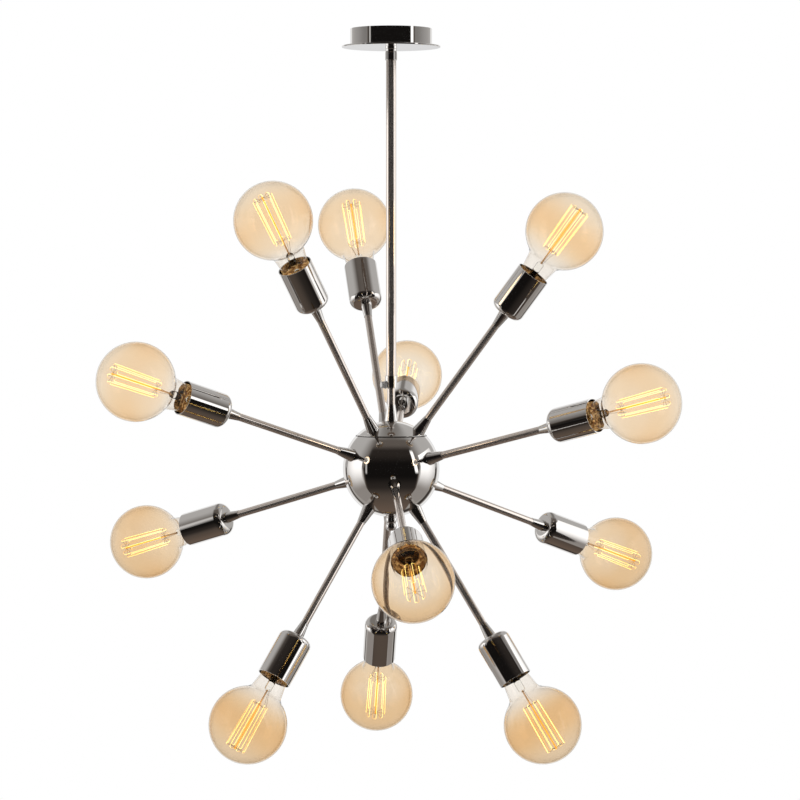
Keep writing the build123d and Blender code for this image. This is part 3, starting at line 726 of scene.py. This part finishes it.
def caged_filament():
    """One wire up and down round the cage, with a small round bend at each support."""
    corners = []
    for run in range(CAGE_RUNS):
        near = cage_place(run, CAGE_NEAR, CAGE_NEAR_RADIUS)
        far = cage_place(run, CAGE_FAR, CAGE_FAR_RADIUS)
        corners += [near, far] if run % 2 == 0 else [far, near]
    route = [corners[0]]
    for before, corner, after in zip(corners, corners[1:], corners[2:]):
        back = (before - corner).normalized() * FILAMENT_TURN
        on = (after - corner).normalized() * FILAMENT_TURN
        bend_steps = 6
        for step in range(bend_steps + 1):
            t = step / bend_steps
            route.append(corner + back * (1 - t) ** 2 + on * t**2)
    route.append(corners[-1])
    mesh = wires("filament_wire", [route], FILAMENT_RADIUS)
    turns = [atan2(vertex.co.y, vertex.co.x) for vertex in mesh.vertices]
    # Every other run glows less.
    paint(mesh, "run_warmth", [0.5 + 0.5 * cos(CAGE_RUNS / 2 * turn) for turn in turns])
    mesh.materials.append(finishes["glowing_filament"])
    return mesh


def glass_stem():
    """The press that holds the rod, and its flare that meets the stub. It is hollow from below."""
    gap = 0.05
    lip = 0.8
    flare = STUB_RADIUS - GLASS_WALL - gap
    floor = STUB_START + GLASS_WALL + gap
    inner = PRESS_RADIUS - 1.6
    top = (0.0, PRESS_TOP)
    shoulder = (PRESS_RADIUS, PRESS_TOP - 4.0)
    outline = [top] + curve_between(top, (2.0, 0.0), shoulder, (0.4, -5.0), 6)[1:]
    outline += [(PRESS_RADIUS, PRESS_START + 1.0)]
    outline += curve_between(
        (PRESS_RADIUS, PRESS_START), (0.0, -5.0), (flare, floor + lip), (7.0, -0.4), 10
    )
    outline += [(flare, floor)]
    outline += curve_between(
        (flare - lip, floor), (-7.0, 0.4), (inner, PRESS_START), (0.0, 5.0), 10
    )
    outline += [(inner, PRESS_START + 3.0), (0.0, PRESS_START + 5.5)]
    mesh = lathe("stem_press", outline, STEM_TURNS)
    mesh.materials.append(finishes["clear_glass"])
    return mesh


def filament_rod():
    """The rod through the cage, with a ring of vertices on each side of the cage's near end."""
    rod_foot = PRESS_TOP - 3.0
    rod_end = CAGE_FAR - 0.6
    beside = 7.0
    heights = (rod_foot, CAGE_NEAR - beside, CAGE_NEAR + beside, rod_end)
    outline = [(0.0, rod_foot)] + [(ROD_RADIUS, height) for height in heights]
    outline += curve_between(
        (ROD_RADIUS, rod_end), (1.5, 1.2), (0.0, CAGE_FAR + ROD_POINT), (-4.0, 0.0), 10
    )[1:]
    mesh = lathe("mount_rod", outline, ROD_TURNS)
    paint(mesh, "from_neck", [vertex.co.z / MM for vertex in mesh.vertices])
    mesh.materials.append(finishes["glowing_rod"])
    return mesh


def mount_wires():
    """Supports from the rod to each bend of the filament, and the two leads from the press."""
    short_of_bend = 0.95
    sag = 0.9
    support_steps = 8
    lead_steps = 12
    runs = []
    for bend in range(CAGE_RUNS - 1):
        far = bend % 2 == 0
        height = CAGE_FAR if far else CAGE_NEAR
        ring = CAGE_FAR_RADIUS if far else CAGE_NEAR_RADIUS
        dip = -sag if far else sag
        angle = 2 * pi * (bend + 0.5) / CAGE_RUNS
        root = ROD_RADIUS * 0.6
        reach = ring * cos(pi / CAGE_RUNS) - short_of_bend
        run = []
        for step in range(support_steps + 1):
            t = step / support_steps
            radius = root + (reach - root) * t
            run.append((radius * cos(angle), radius * sin(angle), height + dip * sin(pi * t)))
        runs.append(run)
    for run in (0, CAGE_RUNS - 1):
        start = cage_place(run, PRESS_TOP - 4.0, PRESS_RADIUS * 0.7)
        end = cage_place(run, CAGE_NEAR, CAGE_NEAR_RADIUS)
        knee = start.lerp(end, 0.35) + Vector((0.0, 0.0, 3.0))
        lead = []
        for step in range(lead_steps + 1):
            t = step / lead_steps
            lead.append(tuple(start * (1 - t) ** 2 + knee * 2 * t * (1 - t) + end * t**2))
        runs.append(lead)
    mesh = wires("mount_supports", runs, SUPPORT_RADIUS)
    mesh.materials.append(finishes["support_wire"])
    return mesh


def arm_frame(outward):
    """Where a piece made round the height axis goes, so that it stands on an arm's axis."""
    sideways = Vector((-outward.y, outward.x, 0.0)).normalized()
    upward = outward.cross(sideways)
    turned = Matrix((sideways, upward, outward)).transposed()
    return Matrix.Translation(BALL_CENTRE) @ turned.to_4x4()


def fitted(name, mesh, body, place, slot, *nodes):
    """Puts a copy of a mesh in its place on a body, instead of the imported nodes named, if any."""
    own = mesh.copy()
    own.transform(place)
    piece = bpy.data.objects.new(name, own)
    bpy.context.scene.collection.objects.link(piece)
    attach(piece, body)
    if nodes:
        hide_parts(*nodes)
    return piece


bulb_meshes = {
    "glass": glass_envelope(),
    "cap": screw_cap(),
    "filament": caged_filament(),
    "stem": glass_stem(),
    "rod": filament_rod(),
    "supports": mount_wires(),
}
for number in range(1, BULBS + 1):
    tag = f"{number:02d}"
    body = f"bulb_{tag}"
    outward = Vector(joints[f"bulb_{tag}_unscrew"]["axis"]).normalized()
    place = arm_frame(outward)
    fitted(f"glass_{tag}", bulb_meshes["glass"], body, place, "amber_glass", f"bulb_globe_{tag}")
    fitted(f"cap_{tag}", bulb_meshes["cap"], body, place, "brass", f"bulb_cap_{tag}")
    fitted(
        f"filament_{tag}", bulb_meshes["filament"], body, place, "filament", f"bulb_filament_{tag}"
    )
    fitted(f"stem_{tag}", bulb_meshes["stem"], body, place, "amber_glass")
    fitted(f"rod_{tag}", bulb_meshes["rod"], body, place, "filament")
    fitted(f"supports_{tag}", bulb_meshes["supports"], body, place, "filament")


def seam_trim():
    """The rolled bead of the ball's upper shell, and under it a dark line of painted shade in the
    joint.
    """
    rows = (  # name, height over the seam, how far it stands out, radius of the wire, finish
        ("ball_seam_bead", 0.55, 0.10, 0.42, "polished_chrome"),
        # A dark ring of painted shade for the shadowed gap between the shells.
        ("ball_seam_painted_shade", -0.35, 0.06, 0.40, "seam_shadow"),
    )
    turns = [2 * pi * step / SEAM_STEPS for step in range(SEAM_STEPS + 1)]
    for name, over_seam, proud, radius, finish in rows:
        height = SEAM_HEIGHT + over_seam
        ring = sqrt(BALL_RADIUS**2 - height**2) + proud
        run = [(ring * cos(turn), ring * sin(turn), height) for turn in turns]
        mesh = wires(name, [run], radius, 12)
        mesh.materials.append(finishes[finish])
        fitted(name, mesh, "hub", Matrix.Translation(BALL_CENTRE), "chrome")


seam_trim()


# ---- Studio: white backdrop, dark room on the camera's side, a soft box at each side -------------
WHITE = (1.0, 1.0, 1.0)
NEARLY_ZERO = 0.0001  # keeps roots and divisions away from zero
FLOOR_HEIGHT = -2.4
FLOOR_REACH = 12.0
CAMERA_PLACE = Vector((0.0, -3.692, -0.3112))
TO_CAMERA = (CAMERA_PLACE - BALL_CENTRE).normalized()
TO_RIGHT = Vector((0.0, 0.0, 1.0)).cross(TO_CAMERA).normalized()
TO_TOP = TO_CAMERA.cross(TO_RIGHT).normalized()


def studio_world():
    world = bpy.data.worlds.new("studio")
    world.use_nodes = True
    world.node_tree.nodes.clear()
    bare = Wire(world.node_tree)
    ray = bare.node("ShaderNodeTexCoord", output="Generated")

    def along(way):
        dot = {"operation": "DOT_PRODUCT"}
        return bare.node("ShaderNodeVectorMath", dot, {0: ray, 1: tuple(way)}, "Value")

    # The room is laid out as a mirror ball beside the hub shows it: across and up run from -1 to 1.
    facing = along(TO_CAMERA)
    spread = (2 + 2 * facing).at_least(NEARLY_ZERO) ** 0.5
    across = along(TO_RIGHT) / spread
    up = along(TO_TOP) / spread
    level = abs(across) / (1.0001 - up * up).at_least(NEARLY_ZERO) ** 0.5
    right = across.above(0.0, 0.01)
    rim = (0.5 - 0.5 * facing).at_least(0.0) ** 0.5

    room = up.above(0.0, 0.9).blend((0.085, 0.064, 0.050), (0.125, 0.108, 0.095))
    crown = abs(across).above(0.22, 0.2).blend((0.20, 0.185, 0.17), (0.42, 0.41, 0.40))
    room = up.above(0.62, 0.05).blend(room, crown)
    floor_glow = 1 - up.above(-0.72, 0.2)
    room = floor_glow.blend(room, (0.14, 0.10, 0.075))
    edge = level + 0.32 * up.at_least(0.0) - 0.07 * up.at_most(0.0)
    core = (1 - edge.above(0.565, 0.025)) * up.above(-0.48, 0.12) * (1 - up.above(0.43, 0.07))
    depth = up.between(-0.26, 0.20, 0.12).blend((0.026, 0.021, 0.018), (0.007, 0.006, 0.0055))
    room = core.blend(room, depth)
    upper_side = edge.above(0.66, 0.16) * up.above(0.1, 0.1)
    room = upper_side.blend(room, (0.47, 0.455, 0.44))
    lower_side = edge.above(0.59, 0.02) * (1 - up.above(0.1, 0.1))
    low_wall = up.above(-0.32, 0.5).blend((0.34, 0.315, 0.29), (0.70, 0.68, 0.66))
    high_wall = level.above(0.78, 0.18).blend((0.23, 0.22, 0.21), (0.50, 0.49, 0.48))
    room = lower_side.blend(room, up.above(0.0, 0.05).blend(low_wall, high_wall))
    strip_right = (level + 0.22 * up).between(0.485, 0.545, 0.012) * up.between(-0.08, 0.36, 0.04)
    strip_right = strip_right * right
    room = strip_right.blend(room, (1.5, 1.47, 1.44))
    strip_left = level.between(0.50, 0.53, 0.012) * up.between(-0.10, 0.20, 0.03) * (1 - right)
    room = strip_left.blend(room, (0.62, 0.60, 0.58))
    ring_start = 0.918 - 0.026 * right
    dark_ring = (rim - ring_start).above(0.0, 0.008) * (1 - rim.above(0.942, 0.008))
    dark_ring = dark_ring * (1 - up.above(0.03, 0.04))
    room = dark_ring.blend(room, (0.05, 0.042, 0.036))
    room = rim.above(0.955, 0.008).blend(room, (0.90, 0.89, 0.88))
    room = rim.above(0.988, 0.006).blend(room, (0.74, 0.74, 0.745))

    # Mirrors show the room. The camera, glass it looks through and matt surfaces see plain white.
    straight = light_path(bare, "Is Camera Ray")
    through = light_path(bare, "Is Transmission Ray")
    glossy = light_path(bare, "Is Glossy Ray")
    mirrored = light_path(bare, "Glossy Depth").above(0.5, 0.1)
    seen = glossy.at_least(mirrored).blend(WHITE, room)
    direct = straight.at_least(through * (1 - mirrored))
    seen = direct.blend(seen, WHITE)
    shade = bare.node("ShaderNodeBackground", {}, {"Color": seen, "Strength": 1.0})
    bare.node("ShaderNodeOutputWorld", {}, {"Surface": shade})
    bpy.context.scene.world = world


studio_world()

scene = bpy.context.scene
scene.view_settings.view_transform = "Standard"

camera_data = bpy.data.cameras.new("photo_camera")
camera_data.sensor_width = 36.0
camera_data.lens = 133.74
camera_data.clip_end = 100.0
camera = bpy.data.objects.new("photo_camera", camera_data)
scene.collection.objects.link(camera)
camera.location = CAMERA_PLACE
camera.rotation_euler = (radians(87.70), 0.0, radians(-0.17))
scene.camera = camera


def pale_floor():
    """A wide floor far below, white to the camera. Mirrors and views from below don't see it."""
    shape = bmesh.new()
    bmesh.ops.create_grid(shape, x_segments=8, y_segments=8, size=FLOOR_REACH)
    mesh = plain_mesh("floor", shape)

    def build(bare, place):
        seen = light_path(bare, "Is Camera Ray")
        through = light_path(bare, "Is Transmission Ray")
        glossy = light_path(bare, "Is Glossy Ray")
        under = bare.node("ShaderNodeNewGeometry", output="Backfacing")
        pale = bare.node("ShaderNodeBsdfDiffuse", {}, {"Color": (0.9, 0.9, 0.89, 1.0)})
        white = bare.node("ShaderNodeEmission", {}, {"Color": (*WHITE, 1.0), "Strength": 1.0})
        clear = bare.node("ShaderNodeBsdfTransparent")
        shown = seen.at_least(through)
        lit = bare.node("ShaderNodeMixShader", {}, {0: shown, 1: pale, 2: white})
        gone = glossy.at_least(under)
        return bare.node("ShaderNodeMixShader", {}, {0: gone, 1: lit, 2: clear})

    mesh.materials.append(finish_for("pale_floor", build))
    floor = bpy.data.objects.new("floor", mesh)
    floor.location = (0.0, 0.0, FLOOR_HEIGHT)
    scene.collection.objects.link(floor)
    floor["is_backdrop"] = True


pale_floor()


def soft_box(name, side, near_end, far_end, top, bottom):
    """An upright glowing cloth beside the object, which only mirrors and glass show."""
    ring = (
        (side, near_end, bottom),
        (side, far_end, bottom),
        (side, far_end, top),
        (side, near_end, top),
    )
    shape = bmesh.new()
    shape.faces.new([shape.verts.new(corner) for corner in ring])
    mesh = plain_mesh(name, shape)
    away = abs(side)

    def build(bare, place):
        hot = place.part("Z").above(BALL_CENTRE.z - 0.30 * away, 0.42 * away)
        hot = hot * (1 - 0.5 * place.part("Y").above(0.45 * away, 0.4 * away))
        cloth = hot.blend((0.30, 0.275, 0.255), (1.35, 1.33, 1.31))
        return bare.node("ShaderNodeEmission", {}, {"Color": cloth, "Strength": 1.0})

    mesh.materials.append(finish_for(name, build))
    panel = bpy.data.objects.new(name, mesh)
    scene.collection.objects.link(panel)
    panel.visible_camera = False
    panel.visible_diffuse = False
    panel.visible_transmission = False
    panel.visible_shadow = False
    panel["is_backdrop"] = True


soft_box("left_soft_box", side=-2.2, near_end=-0.62, far_end=1.72, top=0.03, bottom=-3.6)
soft_box("right_soft_box", side=1.15, near_end=-0.34, far_end=0.90, top=0.04, bottom=-2.2)


def soft_lamp(name, place, size, power):
    """An area lamp aimed at the ball. Its own face shows in no mirror."""
    data = bpy.data.lights.new(name, "AREA")
    data.shape = "RECTANGLE"
    data.size = size[0]
    data.size_y = size[1]
    data.energy = power
    lamp = bpy.data.objects.new(name, data)
    lamp.location = place
    aim = BALL_CENTRE - Vector(place)
    lamp.rotation_euler = aim.to_track_quat("-Z", "Y").to_euler()
    lamp.visible_glossy = False
    scene.collection.objects.link(lamp)


soft_lamp("left_box", (-2.6, -1.2, 0.3), (1.2, 1.8), 14.0)
soft_lamp("right_box", (2.6, -1.2, 0.3), (1.2, 1.8), 14.0)


def corners(box):
    return [[float(value) for value in corner] for corner in box]


{"cad": corners(cad_box), "visual": corners(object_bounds())}
